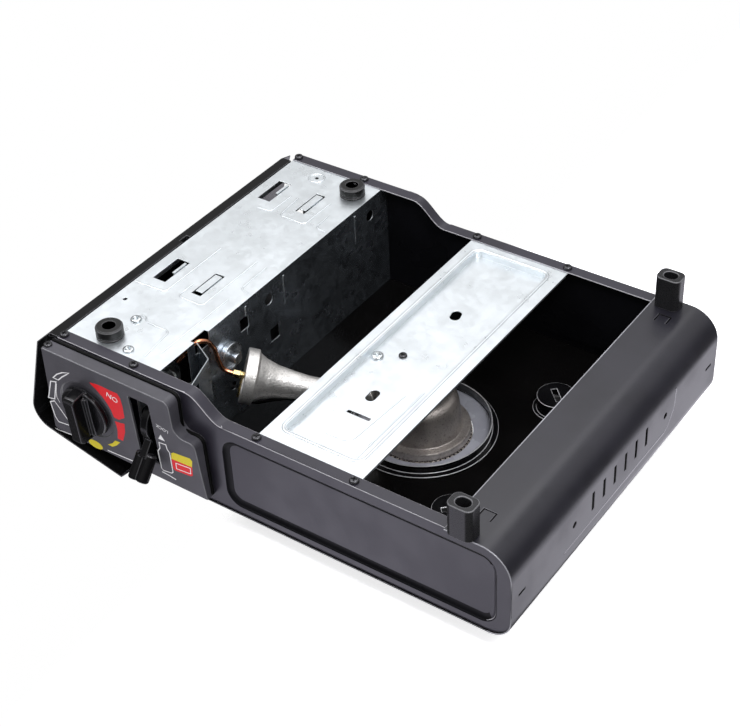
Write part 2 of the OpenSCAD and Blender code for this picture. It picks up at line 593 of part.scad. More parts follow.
module burner_body() color([0.45, 0.44, 0.43]) difference() {
  union() {
    translate([bx, by, body_z]) rotate_extrude() polygon(concat(
      [[0, 0]], arc(16, 10, 10, 270, 350, 8),
      [[28, 29], [33.6, 29.4], [34, 30], [34, 35], [0, 35]]));
    translate([leg_small[0], leg_small[1], bracket_z + t]) cylinder(d = 9, h = body_z + 4 - bracket_z - t);
    // lug of the ceramic electrode
    translate([bx, by, body_z + 30]) rotate([0, 0, 60]) translate([28, -5, 0]) cube([18, 10, 3]);
  }
  translate([bx, by, body_z + 3.5]) rotate_extrude() polygon([[0, 0], [17, 0], [22.5, 5], [25, 27], [30, 29], [30, 33], [0, 33]]);
  mix_frame() cylinder(d = tube_d + 2 * fit, h = mix_len - 14);
  translate([leg_big[0], leg_big[1], bracket_z]) cylinder(d = 11.6, h = lug_top - bracket_z);
  translate([leg_small[0], leg_small[1], bracket_z]) cylinder(d = 3 + 2 * fit, h = 12);
  translate([bx + 41.5 * cos(60), by + 41.5 * sin(60), body_z + 28]) cylinder(d = 5, h = 7);
}

// ring of flame ports with the cap on top
module burner_cap() color([0.5, 0.48, 0.46]) translate([bx, by, body_z + 35]) difference() {
  rotate_extrude() polygon([
    [27, -2.2], [29.9, -2.2], [29.9, 0], [port_d / 2, 0], [port_d / 2, 4.6], [port_d / 2 - 1.6, 6.4], [26, 8], [20, 9.2],
    [0, 10], [0, 8], [20, 7], [27, 4.5]]);
  for (i = [0:port_n - 1]) rotate([0, 0, 360 * i / port_n]) translate([port_d / 2 - 3.4, -port_w / 2, -1]) cube([6, port_w, 4]);
  for (i = [0:11]) rotate([0, 0, 30 * i]) translate([23, 0, 5]) cylinder(d = 2, h = 6, $fn = 16);
}

el = [bx + 41.5 * cos(60), by + 41.5 * sin(60)];
module electrode() color([0.9, 0.9, 0.86]) {
  translate([el[0], el[1], body_z + 18]) cylinder(d = 5, h = 12);
  translate([el[0], el[1], body_z + 30]) cylinder(d = 4.9, h = 3);
  translate([el[0], el[1], body_z + 33]) cylinder(d = 5, h = 5);
  translate([el[0], el[1], body_z + 36]) cylinder(d = 1.5, h = 6.6);
  bar([el[0], el[1], body_z + 42], [el[0] - 2.2, el[1] - 3.8, body_z + 43.5], 1.3);
}

// the lead runs along the top of the mixing tube, l from its mouth and r above its axis
function on_tube(l, r) = jet_at + l * mix_v + [0, 0, r];
lead_pts = [
  [el[0], el[1], body_z + 16.7], [el[0] + 1, el[1] - 4, body_z + 9], [el[0] + 18, el[1] - 30, body_z + 9.5],
  on_tube(mix_len - 44.3, 10.9), on_tube(61.5, 10.8), on_tube(41.8, 11.4), on_tube(24.6, 13.8), on_tube(12.3, 18.8),
  on_tube(4.9, 22.5), on_tube(-4.9, 22.9), [x_div - 3, lead_hole[0] + 1, lead_hole[1]],
  [x_div + 3, lead_hole[0] - 3, lead_hole[1]], [x_div + 8.5, yf + 69, 66], [x_div + 8.5, yf + 63.3, 66]];
module ignition_lead() color([0.12, 0.12, 0.12]) for (i = [0:len(lead_pts) - 2]) hull() {
  translate(lead_pts[i]) sphere(d = 2.4, $fn = 12);
  translate(lead_pts[i + 1]) sphere(d = 2.4, $fn = 12);
}

module igniter() color([0.85, 0.85, 0.82]) {
  translate([x_div + 7, yf + 28, 60]) cube([14, 34, 12]);
  along_y(yf + 22, 6.5) translate([x_div + 14, 66]) circle(d = 6);
  translate([x_div + 7, yf + 12 + t, 60]) cube([3, 16, 12]);
}

tube_pts = [
  [x_div + 12, yf + 40, z2 + 18], [x_div + 6, yf + 47, z2 + 7], [x_div + 2, yf + 52, z2 + 4], [x_div - 1, yf + 58, z2 + 7],
  [x_div - 3, yf + 61.5, z2 + 15], [x_div - 3.6, yf + 63, 33], [x_div - 5.5, yf + 64.3, 42],
  [x_div - 8.5, yf + 65.8, 45.2]];
jet_back = jet_at - 11 * mix_v;
module gas_tube() color([0.72, 0.38, 0.2]) bent(concat(tube_pts, [jet_back - 1.5 * mix_v, jet_back + 0.5 * mix_v]), 3.2);

module gas_jet() color([0.8, 0.65, 0.3]) difference() {
  union() {
    mix_frame() translate([0, 0, -10.4]) cylinder(d = 6, h = 5, $fn = 6);
    mix_frame() translate([0, 0, -5.6]) cylinder(d = 5, h = 9);
    mix_frame() translate([0, 0, 3.4]) cylinder(d1 = 5, d2 = 2.5, h = 2.5);
    // lug that ties the jet to the rim of the mouth
    mix_frame() translate([-19, -1.5, -4.6]) cube([19, 3, 1.6]);
  }
  mix_frame() translate([0, 0, -6.5]) cylinder(d = 1, h = 14, $fn = 16);
}

// ---------- on top ----------
module drip_tray() color([0.2, 0.2, 0.22]) difference() {
  translate([bx, by, top_z + 0.3]) rotate_extrude($fn = 96) polygon([
    [port_d / 2 + 1, 1.6], [38, 1.6], [41, 1.1], [46, 0.8], [tray_d / 2 - 4, 0.8], [tray_d / 2 - 1.2, 4.6], [tray_d / 2, 5.4],
    [tray_d / 2 + 0.2, 4.6], [tray_d / 2 - 3, 0], [46, 0], [40.6, 0.3], [port_d / 2 + 1, 0.7]]);
  // notch that clears the electrode
  translate([el[0], el[1], top_z - 2]) cylinder(d = 10, h = 8);
}

module pan_support() color([0.08, 0.08, 0.085]) {
  zt = top_z + pan_h;
  // the legs stand in the pockets
  seat = top_z - pocket_h + t + 0.3;
  translate([bx, by, top_z + 7]) difference() {
    cylinder(r = 78, h = 1.6, $fn = 96);
    translate([0, 0, -1]) cylinder(r = 58, h = 4, $fn = 96);
  }
  for (a = [45:90:315]) translate([bx, by, 0]) rotate([0, 0, a]) {
    // radial arm with its nose over the burner
    along_y(-1.1, 2.2) polygon([
      [30, zt], [30, zt - 3], [50, zt - 8], [58, top_z + 7], [92, top_z + 7], [92, seat], [100, seat],
      [100, zt - 5], [95, zt]]);
    translate([90.5, -6, seat]) cube([1.6, 12, top_z + 8.6 - seat]);
  }
}

body_shell();
pocket_cups();
opening_collar();
front_panel();
back_panel();
cartridge_floor();
burner_bracket();
control_panel();
knob();
valve_stem();
lock_lever();
lever_pin();
lid();
hinge_rod();
ring_foot_front();
ring_foot_back();
tall_foot_front();
tall_foot_back();
mech_bracket();
valve_bracket();
regulator();
regulator_cover();
trip_boss();
gas_tube();
gas_jet();
mixing_tube();
burner_body();
burner_cap();
electrode();
ignition_lead();
igniter();
drip_tray();
pan_support();
carriage();
rim_screws();
bracket_screws();
floor_screws();
panel_screw();
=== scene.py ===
import json
import math

import bmesh
import bpy
from mathutils import Matrix, Vector


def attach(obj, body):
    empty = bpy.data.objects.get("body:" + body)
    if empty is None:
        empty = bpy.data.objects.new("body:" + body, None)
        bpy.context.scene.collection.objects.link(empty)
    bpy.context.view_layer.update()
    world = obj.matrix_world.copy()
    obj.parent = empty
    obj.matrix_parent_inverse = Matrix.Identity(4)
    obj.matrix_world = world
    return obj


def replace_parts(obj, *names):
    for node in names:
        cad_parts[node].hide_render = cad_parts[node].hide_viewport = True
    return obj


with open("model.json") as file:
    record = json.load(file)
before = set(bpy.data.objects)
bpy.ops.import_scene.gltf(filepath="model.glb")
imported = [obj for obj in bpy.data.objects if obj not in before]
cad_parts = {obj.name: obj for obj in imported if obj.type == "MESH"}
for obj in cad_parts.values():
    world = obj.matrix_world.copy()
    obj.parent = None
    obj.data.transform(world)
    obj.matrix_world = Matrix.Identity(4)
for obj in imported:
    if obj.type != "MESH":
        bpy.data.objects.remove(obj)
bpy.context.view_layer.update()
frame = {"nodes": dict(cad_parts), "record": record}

scene = bpy.context.scene
scene.view_settings.view_transform = "Standard"

# ---------------------------------------------------------------- camera
# The stove lies on its top with the open underside towards the viewer, so
# the camera stands in front, low down, and is turned over with the stove.
MM = 0.001
camera_place = Vector((-529.8, -709.64, -657.9)) * MM
camera_turn, camera_rise, camera_roll = (math.radians(angle) for angle in (36.55, 38.44, -2.94))
camera_data = bpy.data.cameras.new("camera")
camera_data.sensor_width = 36.0
camera_data.lens = 80.36
camera_data.clip_end = 50.0
camera = bpy.data.objects.new("camera", camera_data)
scene.collection.objects.link(camera)
camera.matrix_world = (
    Matrix.Translation(camera_place)
    @ Matrix.Rotation(math.pi, 4, "Y")
    @ Matrix.Rotation(camera_turn, 4, "Z")
    @ Matrix.Rotation(math.pi / 2 - camera_rise, 4, "X")
    @ Matrix.Rotation(camera_roll, 4, "Z")
)
scene.camera = camera


# ---------------------------------------------------------------- lamps and sky
# Soft boxes round the stove, above and below it, and a white sky that lights
# at about half strength and dims towards the horizon in reflections.
stove_middle = Vector((0, 0, 0.05))


def soft_box(name, place, length, width, watts, along=None, tint=(0.96, 0.96, 1.0)):
    """A lit panel that faces the stove; its long side lies along a given way, or level."""
    data = bpy.data.lights.new(name, "AREA")
    data.shape = "RECTANGLE"
    data.size = length
    data.size_y = width
    data.energy = watts
    data.color = tint
    back = (Vector(place) - stove_middle).normalized()
    across = (Vector(along) if along else Vector((0, 0, 1)).cross(back)).normalized()
    across = (across - back * across.dot(back)).normalized()
    facing = Matrix((across, back.cross(across), back)).transposed().to_4x4()
    box = bpy.data.objects.new(name, data)
    box.matrix_world = Matrix.Translation(place) @ facing
    scene.collection.objects.link(box)


soft_box("lamp_front", (0.56, -1.1, 1.12), 0.85, 0.8, 4.2, tint=(0.88, 0.85, 1.0))
soft_box("lamp_end", (-0.78, 1.1, 1.15), 1.7, 0.75, 5.8, tint=(0.91, 0.89, 1.0))
soft_box("lamp_under", (0.35, 0.5, -1.7), 2.0, 1.7, 18.5)
soft_box("lamp_burner", (-0.75, -0.35, -1.3), 0.7, 0.7, 13.0)
soft_box("lamp_edge", (0.62, -0.66, -1.22), 1.3, 0.14, 6.0, (1, 0, 0))
soft_box("lamp_over", (-0.2, -0.4, 1.8), 1.5, 1.5, 8.0)

sky = bpy.data.worlds.new("sky")
sky.use_nodes = True
scene.world = sky
sky.node_tree.nodes.clear()


def sky_node(kind, settings=(), sockets=()):
    """Adds a node to the sky, with its settings and what its sockets hold."""
    node = sky.node_tree.nodes.new(kind)
    for name, setting in settings:
        setattr(node, name, setting)
    for name, value in sockets:
        if isinstance(value, bpy.types.NodeSocket):
            sky.node_tree.links.new(value, node.inputs[name])
        else:
            node.inputs[name].default_value = value
    return node


sky_light, white = 0.55, 1.0
deep, horizon = (-0.64, 0.84), (-0.1, 0.12)  # height in the sky, and its strength in reflections there
ray = sky_node("ShaderNodeLightPath")
way = sky_node("ShaderNodeTexCoord").outputs["Generated"]
height = sky_node("ShaderNodeSeparateXYZ", sockets=[(0, way)])
limits = [("From Min", deep[0]), ("From Max", horizon[0]), ("To Min", deep[1]), ("To Max", horizon[1])]
mirrored = sky_node(
    "ShaderNodeMapRange",
    [("interpolation_type", "SMOOTHSTEP")],
    [("Value", height.outputs["Z"])] + limits,
)
lit = sky_node(
    "ShaderNodeMix",
    [("data_type", "FLOAT")],
    [(0, ray.outputs["Is Glossy Ray"]), (2, sky_light), (3, mirrored.outputs[0])],
)
direct = sky_node(
    "ShaderNodeMath",
    [("operation", "MAXIMUM")],
    [(0, ray.outputs["Is Camera Ray"]), (1, ray.outputs["Is Transmission Ray"])],
)
level = sky_node(
    "ShaderNodeMix",
    [("data_type", "FLOAT")],
    [(0, direct.outputs[0]), (2, lit.outputs[0]), (3, white)],
)
glow = sky_node("ShaderNodeBackground", sockets=[("Color", (1, 1, 1, 1)), ("Strength", level.outputs[0])])
sky_node("ShaderNodeOutputWorld", sockets=[("Surface", glow.outputs[0])])


# ---------------------------------------------------------------- floors
# White paper: one sheet under the feet, and one that the pan support lies on
# when the stove is turned over. Each shows only to a viewer on its own side.
class Value:
    """A shader socket on which sums can be written as Python expressions."""

    def __init__(self, finish, socket):
        self.finish, self.socket = finish, socket

    def sum(self, operation, first, second):
        """Adds the Math node for one operation."""
        return self.finish.node("ShaderNodeMath", {"operation": operation}, {0: first, 1: second})

    def __add__(self, other):
        return self.sum("ADD", self, other)

    def __radd__(self, other):
        return self.sum("ADD", other, self)

    def __sub__(self, other):
        return self.sum("SUBTRACT", self, other)

    def __rsub__(self, other):
        return self.sum("SUBTRACT", other, self)

    def __mul__(self, other):
        return self.sum("MULTIPLY", self, other)

    def __rmul__(self, other):
        return self.sum("MULTIPLY", other, self)

    def fade(self, low, high, at_low=0.0, at_high=1.0):
        """Runs smoothly from at_low to at_high as the value goes from low to high."""
        limits = {"Value": self, "From Min": low, "From Max": high, "To Min": at_low, "To Max": at_high}
        return self.finish.node("ShaderNodeMapRange", {"interpolation_type": "SMOOTHSTEP"}, limits)

    def also(self, output):
        """Another output of the same node."""
        return Value(self.finish, self.socket.node.outputs[output])


class Finish:
    """A material being put together."""

    def __init__(self, name):
        self.material = bpy.data.materials.new(name)
        self.material.use_nodes = True
        self.tree = self.material.node_tree
        self.shader = self.tree.nodes["Principled BSDF"]

    def node(self, kind, settings=None, sockets=None):
        """Adds a node: its settings come first, then the values or links of its sockets."""
        made = self.tree.nodes.new(kind)
        for name, setting in (settings or {}).items():
            setattr(made, name, setting)
        for name, value in (sockets or {}).items():
            self.feed(made.inputs[name], value)
        return Value(self, made.outputs[0])

    def feed(self, socket, value):
        """Links a value to a socket, or sets the socket to a number or colour."""
        if isinstance(value, Value):
            self.tree.links.new(value.socket, socket)
        elif socket.type == "RGBA":
            socket.default_value = (*value[:3], 1)
        else:
            socket.default_value = value

    def place(self, stretch=(1, 1, 1)):
        """The point on the piece, in metres, stretched along its axes."""
        here = self.node("ShaderNodeTexCoord").also("Object")
        return self.node("ShaderNodeMapping", sockets={"Vector": here, "Scale": stretch})

    def cloud(self, size, detail=3.0, rough=0.55, stretch=(1, 1, 1)):
        """Noise whose patches are about size metres wide."""
        sizes = {"Scale": 1 / size, "Detail": detail, "Roughness": rough}
        return self.node("ShaderNodeTexNoise", sockets={"Vector": self.place(stretch), **sizes})

    def blend(self, mask, low, high):
        """Goes from colour low to colour high as the mask goes from 0 to 1."""
        mix = self.node("ShaderNodeMix", {"data_type": "RGBA"}, {0: mask, 6: low, 7: high})
        return mix.also(2)

    def bumps(self, height, depth):
        """Surface relief: a height of 1 stands for depth in metres."""
        return self.node("ShaderNodeBump", sockets={"Height": height, "Distance": depth})

    def surface(self, **sockets):
        """Feeds the main shader; an underscore stands for a space in a socket's name."""
        for name, value in sockets.items():
            self.feed(self.shader.inputs[name.replace("_", " ")], value)
        return self.material


paper_half, paper_glow, clear_over = 4.0, 0.68, 0.025


def paper(name, level, faces_up, clear_from=None):
    """A sheet at a level that shows on its front only, and fades out where x passes clear_from."""
    corners = [(x * paper_half, y * paper_half, level) for x, y in ((-1, -1), (1, -1), (1, 1), (-1, 1))]
    mesh = bpy.data.meshes.new(name)
    mesh.from_pydata(corners, [], [(0, 1, 2, 3) if faces_up else (3, 2, 1, 0)])
    sheet = bpy.data.objects.new(name, mesh)
    scene.collection.objects.link(sheet)
    look = Finish(name)
    look.tree.nodes.remove(look.shader)
    seen = look.node("ShaderNodeLightPath") * (1 - look.node("ShaderNodeNewGeometry").also("Backfacing"))
    if clear_from is not None:
        across = look.node("ShaderNodeSeparateXYZ", sockets={0: look.place()})
        seen = seen * across.fade(clear_from, clear_from + clear_over, 1.0, 0.0)
    glowing = look.node("ShaderNodeEmission", sockets={"Color": (1, 1, 1), "Strength": paper_glow})
    shaded = look.node("ShaderNodeBsdfDiffuse", sockets={"Color": (0.9, 0.9, 0.92)})
    lit = look.node("ShaderNodeAddShader", sockets={0: glowing, 1: shaded})
    clear = look.node("ShaderNodeBsdfTransparent")
    mix = look.node("ShaderNodeMixShader", sockets={0: seen, 1: clear, 2: lit})
    look.tree.links.new(mix.socket, look.tree.nodes["Material Output"].inputs["Surface"])
    mesh.materials.append(look.material)


paper("floor_in_use", 0.0, True)
paper("floor_turned_over", 0.1165, False, clear_from=0.02)


# ---------------------------------------------------------------- case shell
# One deep-drawn steel sheet, top and burner end in one, with louvres let in
# and its cut edges folded into hems. Stoved black enamel: satin outside, and
# glossier inside, where its darker colour is painted shade; a lighter colour
# on the rounded edges is painted highlight.
record = frame["record"]
body_of = {node: body for body, nodes in record["behaviour"]["bodies"].items() for node in nodes}


def merged(node):
    """A copy of a CAD node's mesh with its triangles joined up into flat faces."""
    work = bmesh.new()
    work.from_mesh(frame["nodes"][node].data)
    bmesh.ops.remove_doubles(work, verts=work.verts, dist=2e-6)
    bmesh.ops.dissolve_limit(work, angle_limit=math.radians(0.4), verts=work.verts, edges=work.edges)
    return work


def piece(name, work, crease=32.0):
    """Turns a worked mesh into an object, smooth up to the crease angle."""
    mesh = bpy.data.meshes.new(name)
    work.to_mesh(mesh)
    work.free()
    for normals in [a for a in mesh.attributes if a.name == "custom_normal"]:
        mesh.attributes.remove(normals)
    mesh.materials.clear()
    mesh.shade_smooth()
    mesh.set_sharp_from_angle(angle=math.radians(crease))
    made = bpy.data.objects.new(name, mesh)
    scene.collection.objects.link(made)
    return made


def settle(made):
    """Makes the mesh that the modifiers give the piece's own, and drops them."""
    rough = made.data
    result = made.evaluated_get(bpy.context.evaluated_depsgraph_get())
    made.data = bpy.data.meshes.new_from_object(result)
    made.modifiers.clear()
    made.data.name = made.name
    bpy.data.meshes.remove(rough)
    return made


def ease(made, width, steps=2, crease=32.0):
    """Rounds the piece's edges, as the press or the mould leaves them, in its second finish."""
    for _ in range(2):
        made.data.materials.append(None)
    tool = made.modifiers.new("ease", "BEVEL")
    tool.width = width
    tool.segments = steps
    tool.limit_method = "ANGLE"
    tool.angle_limit = math.radians(crease)
    tool.use_clamp_overlap = False
    # The rounded faces take the second finish: on many pieces a lighter colour, painted as highlight along
    # the edges.
    tool.material = 1
    even = made.modifiers.new("even", "WEIGHTED_NORMAL")
    even.keep_sharp = True
    return settle(made)


def fit(made, node, *finishes, stands_for=True):
    """Gives a piece its finishes, and sets it on a CAD node's body and in its place."""
    slots = made.data.materials
    while len(slots) < len(finishes):
        slots.append(None)
    if finishes:
        for i in range(len(slots)):
            slots[i] = finishes[i] if i < len(finishes) else finishes[0]
    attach(made, body_of[node])
    if stands_for:
        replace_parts(made, node)
    return made


def enamel(name, colour, rough, gloss, peel):
    """Stoved enamel: faint patches and specks, and the fine waves called orange peel."""
    look = Finish(name)
    patches = look.cloud(0.05, 4.0).fade(0.3, 0.7)
    specks = look.cloud(0.004, 5.0, 0.7).fade(0.62, 0.75)
    return look.surface(
        Base_Color=look.blend(patches * 0.6 + specks * 0.4, colour, tuple(c * 1.8 for c in colour)),
        Roughness=patches.fade(0.0, 1.0, rough - 0.04, rough + 0.04),
        Specular_IOR_Level=gloss,
        Normal=look.bumps(look.cloud(0.0009, 2.0), peel),
    )


shell_satin = enamel("shell_satin", (0.011, 0.0105, 0.015), 0.33, 0.5, 0.000012)
shell_wet = enamel("shell_wet", (0.0032, 0.003, 0.003), 0.1, 0.12, 0.000004)
shell_edge = enamel("shell_edge", (0.1, 0.1, 0.11), 0.22, 0.6, 0.00001)
shell = ease(piece("case_shell", merged("body_shell")), 0.00025)
fit(shell, "body_shell", shell_satin, shell_edge, shell_wet)
case_middle = Vector((-40, 0, 60)) * MM
# Faces turned into the case take the inside black, as painted shade.
for face in shell.data.polygons:
    if face.normal.dot(face.center - case_middle) <= 0:
        face.material_index = 2


class Tree:
    """A geometry node tree being put together, with named inputs for its sizes."""

    def __init__(self, name, **sizes):
        self.tree = bpy.data.node_groups.new(name, "GeometryNodeTree")
        self.tree.interface.new_socket("Geometry", in_out="INPUT", socket_type="NodeSocketGeometry")
        self.keys = {}
        for label, size in sizes.items():
            kind = {float: "Float", int: "Int"}.get(type(size), size)
            made = self.tree.interface.new_socket(label, in_out="INPUT", socket_type="NodeSocket" + kind)
            if kind != size:
                made.default_value = size
            self.keys[label] = made.identifier
        self.tree.interface.new_socket("Geometry", in_out="OUTPUT", socket_type="NodeSocketGeometry")
        self.given = self.tree.nodes.new("NodeGroupInput").outputs

    def node(self, kind, settings=None, sockets=None, output=0):
        """Adds a node and gives the output that is asked for."""
        made = self.tree.nodes.new(kind)
        for name, setting in (settings or {}).items():
            setattr(made, name, setting)
        for name, value in (sockets or {}).items():
            if isinstance(value, bpy.types.NodeSocket):
                self.tree.links.new(value, made.inputs[name])
            else:
                made.inputs[name].default_value = value
        return made.outputs[output]

    def end(self, geometry):
        """Closes the tree: makes its instances real and gives them their finish."""
        real = self.node("GeometryNodeRealizeInstances", sockets={"Geometry": geometry})
        dress = {"Geometry": real, "Material": self.given["Material"]}
        dressed = self.node("GeometryNodeSetMaterial", sockets=dress)
        self.tree.links.new(dressed, self.tree.nodes.new("NodeGroupOutput").inputs[0])

    def make(self, name, points, lines=(), **sizes):
        """Runs the tree on points, joined by lines, with these sizes, and keeps the mesh."""
        mesh = bpy.data.meshes.new(name)
        mesh.from_pydata(points, lines, [])
        made = bpy.data.objects.new(name, mesh)
        scene.collection.objects.link(made)
        tool = made.modifiers.new("tree", "NODES")
        tool.node_group = self.tree
        for label, size in sizes.items():
            tool[self.keys[label]] = size
        return settle(made)


# The bead tree lays a half-sunk rod, wider than it is high, along a path with
# rounded corners: a line pressed into sheet metal.
bead = Tree("pressed_bead", Width=0.001, Height=0.0003, Corner=0.003, Sides=8, Material="Material")
path = bead.node("GeometryNodeMeshToCurve", sockets={"Mesh": bead.given["Geometry"]})
bend = {"Count": 6, "Radius": bead.given["Corner"], "Limit Radius": True}
path = bead.node("GeometryNodeFilletCurve", {"mode": "POLY"}, {"Curve": path, **bend})
path = bead.node("GeometryNodeSetCurveNormal", {"mode": "Z_UP"}, {"Curve": path})
round_sides = {"Resolution": bead.given["Sides"], "Radius": 0.5}
ring = bead.node("GeometryNodeCurvePrimitiveCircle", {"mode": "RADIUS"}, round_sides)
rod_size = {"X": bead.given["Width"], "Y": bead.given["Height"], "Z": 1.0}
squash = bead.node("ShaderNodeCombineXYZ", sockets=rod_size)
ring = bead.node("GeometryNodeTransform", sockets={"Geometry": ring, "Scale": squash})
swept = {"Curve": path, "Profile Curve": ring, "Fill Caps": True}
bead.end(bead.node("GeometryNodeCurveToMesh", sockets=swept))


def press(name, node, finish, runs, width, height, corner, sides=8):
    """Presses beads along runs of points, given in millimetres, into a sheet."""
    points, lines = [], []
    for run in runs:
        lines += [(len(points) + i, len(points) + i + 1) for i in range(len(run) - 1)]
        points += [Vector(p) * MM for p in run]
    sizes = {"Width": width * MM, "Height": height * MM, "Corner": corner * MM, "Sides": sides}
    made = bead.make(name, points, lines, Material=finish, **sizes)
    made.data.shade_smooth()
    return fit(made, node, stands_for=False)


def corner_run(middle_x, middle_z, radius, start, step, count):
    """Points round a corner of the case's end, turned back from a starting angle in degrees."""
    turns = [math.radians(start - step * i) for i in range(count)]
    return [(middle_x + radius * math.cos(a), middle_z + radius * math.sin(a)) for a in turns]


# The hems run from the lip's edge round both corners of the burner end, half
# a millimetre inside the sheet's outer face; their light colour is a painted
# highlight along the shell's edges. All sizes are in millimetres.
hem_bright = enamel("hem_bright", (0.24, 0.24, 0.26), 0.16, 0.9, 0.000004)
end_x, lip_z, top_z = -191, 24.8, 96
lip_radius, top_radius, inset = 22, 17, 0.5
hem = [(-144, 25.3)]
hem += corner_run(end_x + lip_radius, lip_z + lip_radius, lip_radius - inset, 270, 7.5, 13)
hem += corner_run(end_x + top_radius, top_z - top_radius, top_radius - inset, 180, 9, 11)
for end, y in (("front", -124.6), ("back", 149.75)):
    hem_run = [(x, y, z) for x, z in hem]
    press("case_hem_" + end, "body_shell", hem_bright, [hem_run], 1.0, 0.9, 0.5, 10)

lip_run = [(-143.9, -121, 24.95), (-143.9, 147, 24.95)]
press("case_hem_lip", "body_shell", hem_bright, [lip_run], 0.8, 0.7, 0.5, 10)
# The pressed border round the end wall takes the shell's lighter colour as painted highlight.
border_run = [(-190.9, y, z) for y, z in ((-62, 73.5), (76, 73.5), (86, 60), (87, 45))]
press("end_wall_border", "body_shell", shell_edge, [border_run], 0.4, 2.4, 9)

# ---------------------------------------------------------------- cups and collar
# Pressed cups that take the legs of the pan support, and the ring that stiffens
# the burner opening, spot welded under the top and enamelled with it.
cup_wet = enamel("cup_wet", (0.004, 0.004, 0.0045), 0.1, 0.6, 0.000004)
cup_rim = enamel("cup_rim", (0.42, 0.42, 0.43), 0.16, 0.9, 0.000004)
# Their rounded rims take a light colour, painted as highlight.
for node in ("pocket_cups", "opening_collar"):
    fit(ease(piece("case_" + node, merged(node)), 0.00035), node, cup_wet, cup_rim)

# ---------------------------------------------------------------- front and back panel
# Pressed steel ends with a sunk field and a turned-in rim, painted satin black;
# a lighter colour on the rounded edges and the lower bend is painted highlight,
# and a near-black inside and on the step round the field is painted shade.
panel_black = enamel("panel_black", (0.015, 0.0135, 0.021), 0.36, 0.5, 0.000014)
panel_edge = enamel("panel_edge", (0.3, 0.295, 0.31), 0.25, 0.6, 0.00001)
panel_deep = enamel("panel_deep", (0.0045, 0.0045, 0.0055), 0.3, 0.06, 0.00001)


def press_fold(work, face_y, wanted, width):
    """Rounds a panel's edges whose ends, in millimetres behind its face, are both wanted."""
    found = []
    for edge in work.edges:
        ends = [corner.co / MM - Vector((0, face_y, 0)) for corner in edge.verts]
        if all(wanted(p) for p in ends) and len(edge.link_faces) == 2 and edge.calc_face_angle() > 1.0:
            found.append(edge)
    bmesh.ops.bevel(work, geom=found, offset=width * MM, segments=5, profile=0.5, affect="EDGES")


def on_field(p):
    """Whether a point of a panel, in millimetres, lies on the sunk field or the step round it."""
    return -180.1 < p.x < 27.1 and 32.9 < p.z < 89.6


field_depth, back_depth, near = 2.5, 3.3, 0.02
painted_highlight_slot, thick = 1, 2  # slot 1: a lighter colour painted as highlight; slot 2, thick: a near-black painted as shade
for node, face_y in (("front_panel", -123.54), ("back_panel", 149.06)):
    work = merged(node)
    # The field's floor is drawn in towards its corners' middles, so that the step slopes.
    for corner in work.verts:
        p = corner.co / MM
        depth = abs(p.y - face_y)
        if on_field(p) and min(abs(depth - field_depth), abs(depth - back_depth)) < near:
            corner_middle = Vector((min(max(p.x, -168), 15), min(max(p.z, 45), 77.5)))
            p.x, p.z = corner_middle + (p.xz - corner_middle) * 0.66
            corner.co = p * MM
    press_fold(work, face_y, lambda p: on_field(p) and abs(p.y) < near, 1.2)
    press_fold(work, face_y, lambda p: on_field(p) and abs(abs(p.y) - field_depth) < near, 1.2)
    press_fold(work, face_y, lambda p: -143 < p.x < 160 and p.z < 25 and abs(p.y) < near, 1.4)
    made = ease(piece("case_" + node, work), 0.0003)
    fit(made, node, panel_black, panel_edge, panel_deep)
    for face in made.data.polygons:
        middle = face.center / MM
        outwards = face.normal.y * math.copysign(1.0, face_y)
        round_field = -182 < middle.x < 29 and 31 < middle.z < 92 and face.normal.x < 0.35
        flat_from = 0.985 if middle.z > 60 else 0.96
        # Inside, just behind the face: near-black as painted shade; the turned-in rim farther in: lighter,
        # as painted highlight.
        if outwards < -0.05 and abs(middle.y) > abs(face_y) - 4:
            face.material_index = thick
        elif outwards < -0.5:
            face.material_index = painted_highlight_slot
        elif abs(middle.y - face_y) < 2.6:
            if middle.z < 27 and 0.5 < outwards < 0.88:
                # painted highlight along the lower bend
                face.material_index = painted_highlight_slot
            # The step round the field takes the near-black as painted shade.
            elif round_field and outwards < flat_from:
                face.material_index = thick


# ---------------------------------------------------------------- rim screws
# Black pan-head screws with a cross recess, through the rims of both panels.
def cross_head(name, radius, height, recess, shank, length):
    """A screw that stands upright, its head below zero with a cross sunk in it."""
    work = bmesh.new()
    arm, half, steps = radius * recess, radius * recess * 0.28, 24
    cross = [(arm, -half), (arm, half), (half, half), (half, arm), (-half, arm), (-half, half)]
    cross += [(-x, -y) for x, y in cross]
    crown = [work.verts.new((x, y, -height)) for x, y in cross]
    pit = [work.verts.new((x * 0.5, y * 0.6, -height * 0.2)) for x, y in cross]
    for i in range(12):
        work.faces.new((crown[i], crown[(i + 1) % 12], pit[(i + 1) % 12], pit[i]))
    work.faces.new(pit)
    side = [(0.7, -1.0), (0.88, -0.85), (0.98, -0.5), (1.0, -0.12), (0.97, 0.0)]
    side = [(radius * r, height * z) for r, z in side] + [(shank, 0.0), (shank, length)]
    angles = [2 * math.pi * k / steps for k in range(steps)]
    rings = [[work.verts.new((r * math.cos(a), r * math.sin(a), z)) for a in angles] for r, z in side]
    for low, high in zip(rings, rings[1:]):
        for k in range(steps):
            work.faces.new((low[k], low[(k + 1) % steps], high[(k + 1) % steps], high[k]))
    work.faces.new(rings[-1])
    edges = [work.edges.get((rings[0][k], rings[0][(k + 1) % steps])) for k in range(steps)]
    edges += [work.edges.get((crown[i], crown[(i + 1) % 12])) for i in range(12)]
    bmesh.ops.triangle_fill(work, edges=edges, use_beauty=True)
    bmesh.ops.recalc_face_normals(work, faces=work.faces)
    return piece(name, work, 40)


